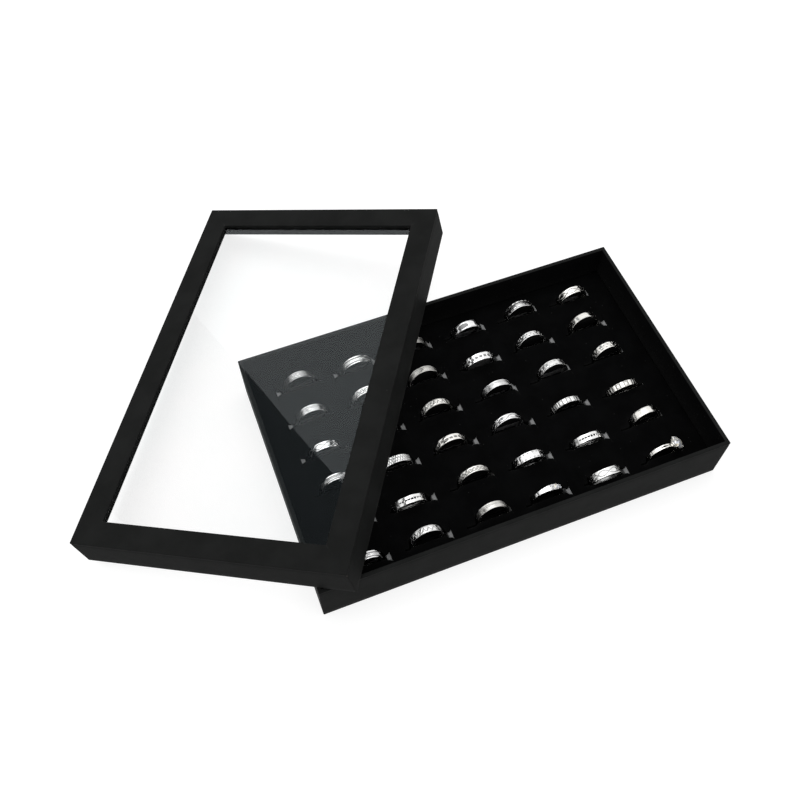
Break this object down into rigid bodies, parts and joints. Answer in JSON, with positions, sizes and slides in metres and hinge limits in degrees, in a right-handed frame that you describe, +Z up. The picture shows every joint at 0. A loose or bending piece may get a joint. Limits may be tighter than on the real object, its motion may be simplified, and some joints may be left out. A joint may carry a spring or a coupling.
{
  "type": "ring display box",
  "caption": "Flat paper-wrapped tray with a flocked slotted pad that holds rings upright, and a separate lift-off lid with a clear window.",
  "frame": {"origin": "centre of the tray's underside", "axes": "+X along the tray's long side, +Y towards its back wall, +Z up; the rings stand in planes along X"},
  "size_m": [0.3544, 0.2907, 0.0598],
  "materials": {
    "black_paper": "matt, lightly textured black wrapping paper",
    "stay_tape": "brown gummed paper tape",
    "grey_board": "grey board, hidden under the wrap",
    "grey_foam": "soft grey foam",
    "black_velvet": "black flocked velvet",
    "clear_film": "clear glossy plastic film",
    "silver_steel": "silver-coloured steel, polished with darkened engraving",
    "clear_stone": "clear cut glass stone"
  },
  "bodies": {
    "tray": {"pad_cover": "black_velvet", "pad_foam_bars": "grey_foam", "pad_foam_spacers": "grey_foam", "tray_back_wall": "grey_board", "tray_base_panel": "grey_board", "tray_bottom_paper": "black_paper", "tray_corner_stays": "stay_tape", "tray_front_wall": "grey_board", "tray_left_wall": "grey_board", "tray_liner_paper": "black_paper", "tray_right_wall": "grey_board", "tray_wrap": "black_paper"},
    "lid": {"lid_back_skirt": "grey_board", "lid_corner_stays": "stay_tape", "lid_front_skirt": "grey_board", "lid_left_skirt": "grey_board", "lid_right_skirt": "grey_board", "lid_top_frame": "grey_board", "lid_window": "clear_film", "lid_window_liner": "black_paper", "lid_wrap": "black_paper"},
    "ring_row6_place4": {"ring_cluster_row6_place4": "silver_steel", "ring_cluster_stones": "clear_stone"},
    "ring_row1_place6": {"ring_crossed_row1_place6": "silver_steel"},
    "ring_row3_place1": {"ring_crossed_row3_place1": "silver_steel"},
    "ring_row6_place5": {"ring_crossed_row6_place5": "silver_steel"},
    "ring_row2_place6": {"ring_domed_row2_place6": "silver_steel"},
    "ring_row3_place5": {"ring_domed_row3_place5": "silver_steel"},
    "ring_row2_place5": {"ring_dotted_row2_place5": "silver_steel"},
    "ring_row3_place6": {"ring_dotted_row3_place6": "silver_steel"},
    "ring_row1_place3": {"ring_flat_row1_place3": "silver_steel"},
    "ring_row1_place5": {"ring_flat_row1_place5": "silver_steel"},
    "ring_row2_place1": {"ring_flat_row2_place1": "silver_steel"},
    "ring_row2_place3": {"ring_flat_row2_place3": "silver_steel"},
    "ring_row3_place2": {"ring_flat_row3_place2": "silver_steel"},
    "ring_row3_place4": {"ring_flat_row3_place4": "silver_steel"},
    "ring_row4_place2": {"ring_flat_row4_place2": "silver_steel"},
    "ring_row5_place1": {"ring_flat_row5_place1": "silver_steel"},
    "ring_row5_place4": {"ring_flat_row5_place4": "silver_steel"},
    "ring_row5_place6": {"ring_flat_row5_place6": "silver_steel"},
    "ring_row6_place3": {"ring_flat_row6_place3": "silver_steel"},
    "ring_row1_place2": {"ring_grooved_row1_place2": "silver_steel"},
    "ring_row2_place2": {"ring_grooved_row2_place2": "silver_steel"},
    "ring_row3_place3": {"ring_grooved_row3_place3": "silver_steel"},
    "ring_row4_place1": {"ring_grooved_row4_place1": "silver_steel"},
    "ring_row4_place4": {"ring_grooved_row4_place4": "silver_steel"},
    "ring_row6_place1": {"ring_grooved_row6_place1": "silver_steel"},
    "ring_row6_place2": {"ring_grooved_row6_place2": "silver_steel"},
    "ring_row1_place4": {"ring_inlaid_row1_place4": "silver_steel"},
    "ring_row4_place5": {"ring_panelled_row4_place5": "silver_steel"},
    "ring_row4_place6": {"ring_panelled_row4_place6": "silver_steel"},
    "ring_row1_place1": {"ring_ridged_row1_place1": "silver_steel"},
    "ring_row2_place4": {"ring_slotted_row2_place4": "silver_steel"},
    "ring_row4_place3": {"ring_slotted_row4_place3": "silver_steel"},
    "ring_row5_place3": {"ring_slotted_row5_place3": "silver_steel"},
    "ring_row6_place6": {"ring_solitaire_row6_place6": "silver_steel", "ring_solitaire_stone": "clear_stone"},
    "ring_row5_place2": {"ring_split_row5_place2": "silver_steel"},
    "ring_row5_place5": {"ring_split_row5_place5": "silver_steel"}
  },
  "joints": [
    {"name": "lid_lift", "type": "slide", "parent": "tray", "child": "lid", "axis": [0, 0, 1], "range_m": [0, 0.12]},
    {"name": "ring_row6_place4_lift", "type": "slide", "parent": "tray", "child": "ring_row6_place4", "axis": [0, 0, 1], "range_m": [0, 0.011]},
    {"name": "ring_row1_place6_lift", "type": "slide", "parent": "tray", "child": "ring_row1_place6", "axis": [0, 0, 1], "range_m": [0, 0.011]},
    {"name": "ring_row3_place1_lift", "type": "slide", "parent": "tray", "child": "ring_row3_place1", "axis": [0, 0, 1], "range_m": [0, 0.011]},
    {"name": "ring_row6_place5_lift", "type": "slide", "parent": "tray", "child": "ring_row6_place5", "axis": [0, 0, 1], "range_m": [0, 0.011]},
    {"name": "ring_row2_place6_lift", "type": "slide", "parent": "tray", "child": "ring_row2_place6", "axis": [0, 0, 1], "range_m": [0, 0.011]},
    {"name": "ring_row3_place5_lift", "type": "slide", "parent": "tray", "child": "ring_row3_place5", "axis": [0, 0, 1], "range_m": [0, 0.011]},
    {"name": "ring_row2_place5_lift", "type": "slide", "parent": "tray", "child": "ring_row2_place5", "axis": [0, 0, 1], "range_m": [0, 0.011]},
    {"name": "ring_row3_place6_lift", "type": "slide", "parent": "tray", "child": "ring_row3_place6", "axis": [0, 0, 1], "range_m": [0, 0.011]},
    {"name": "ring_row1_place3_lift", "type": "slide", "parent": "tray", "child": "ring_row1_place3", "axis": [0, 0, 1], "range_m": [0, 0.011]},
    {"name": "ring_row1_place5_lift", "type": "slide", "parent": "tray", "child": "ring_row1_place5", "axis": [0, 0, 1], "range_m": [0, 0.011]},
    {"name": "ring_row2_place1_lift", "type": "slide", "parent": "tray", "child": "ring_row2_place1", "axis": [0, 0, 1], "range_m": [0, 0.011]},
    {"name": "ring_row2_place3_lift", "type": "slide", "parent": "tray", "child": "ring_row2_place3", "axis": [0, 0, 1], "range_m": [0, 0.011]},
    {"name": "ring_row3_place2_lift", "type": "slide", "parent": "tray", "child": "ring_row3_place2", "axis": [0, 0, 1], "range_m": [0, 0.011]},
    {"name": "ring_row3_place4_lift", "type": "slide", "parent": "tray", "child": "ring_row3_place4", "axis": [0, 0, 1], "range_m": [0, 0.011]},
    {"name": "ring_row4_place2_lift", "type": "slide", "parent": "tray", "child": "ring_row4_place2", "axis": [0, 0, 1], "range_m": [0, 0.011]},
    {"name": "ring_row5_place1_lift", "type": "slide", "parent": "tray", "child": "ring_row5_place1", "axis": [0, 0, 1], "range_m": [0, 0.011]},
    {"name": "ring_row5_place4_lift", "type": "slide", "parent": "tray", "child": "ring_row5_place4", "axis": [0, 0, 1], "range_m": [0, 0.011]},
    {"name": "ring_row5_place6_lift", "type": "slide", "parent": "tray", "child": "ring_row5_place6", "axis": [0, 0, 1], "range_m": [0, 0.011]},
    {"name": "ring_row6_place3_lift", "type": "slide", "parent": "tray", "child": "ring_row6_place3", "axis": [0, 0, 1], "range_m": [0, 0.011]},
    {"name": "ring_row1_place2_lift", "type": "slide", "parent": "tray", "child": "ring_row1_place2", "axis": [0, 0, 1], "range_m": [0, 0.011]},
    {"name": "ring_row2_place2_lift", "type": "slide", "parent": "tray", "child": "ring_row2_place2", "axis": [0, 0, 1], "range_m": [0, 0.011]},
    {"name": "ring_row3_place3_lift", "type": "slide", "parent": "tray", "child": "ring_row3_place3", "axis": [0, 0, 1], "range_m": [0, 0.011]},
    {"name": "ring_row4_place1_lift", "type": "slide", "parent": "tray", "child": "ring_row4_place1", "axis": [0, 0, 1], "range_m": [0, 0.011]},
    {"name": "ring_row4_place4_lift", "type": "slide", "parent": "tray", "child": "ring_row4_place4", "axis": [0, 0, 1], "range_m": [0, 0.011]},
    {"name": "ring_row6_place1_lift", "type": "slide", "parent": "tray", "child": "ring_row6_place1", "axis": [0, 0, 1], "range_m": [0, 0.011]},
    {"name": "ring_row6_place2_lift", "type": "slide", "parent": "tray", "child": "ring_row6_place2", "axis": [0, 0, 1], "range_m": [0, 0.011]},
    {"name": "ring_row1_place4_lift", "type": "slide", "parent": "tray", "child": "ring_row1_place4", "axis": [0, 0, 1], "range_m": [0, 0.011]},
    {"name": "ring_row4_place5_lift", "type": "slide", "parent": "tray", "child": "ring_row4_place5", "axis": [0, 0, 1], "range_m": [0, 0.011]},
    {"name": "ring_row4_place6_lift", "type": "slide", "parent": "tray", "child": "ring_row4_place6", "axis": [0, 0, 1], "range_m": [0, 0.011]},
    {"name": "ring_row1_place1_lift", "type": "slide", "parent": "tray", "child": "ring_row1_place1", "axis": [0, 0, 1], "range_m": [0, 0.011]},
    {"name": "ring_row2_place4_lift", "type": "slide", "parent": "tray", "child": "ring_row2_place4", "axis": [0, 0, 1], "range_m": [0, 0.011]},
    {"name": "ring_row4_place3_lift", "type": "slide", "parent": "tray", "child": "ring_row4_place3", "axis": [0, 0, 1], "range_m": [0, 0.011]},
    {"name": "ring_row5_place3_lift", "type": "slide", "parent": "tray", "child": "ring_row5_place3", "axis": [0, 0, 1], "range_m": [0, 0.011]},
    {"name": "ring_row6_place6_lift", "type": "slide", "parent": "tray", "child": "ring_row6_place6", "axis": [0, 0, 1], "range_m": [0, 0.011]},
    {"name": "ring_row5_place2_lift", "type": "slide", "parent": "tray", "child": "ring_row5_place2", "axis": [0, 0, 1], "range_m": [0, 0.011]},
    {"name": "ring_row5_place5_lift", "type": "slide", "parent": "tray", "child": "ring_row5_place5", "axis": [0, 0, 1], "range_m": [0, 0.011]}
  ]
}
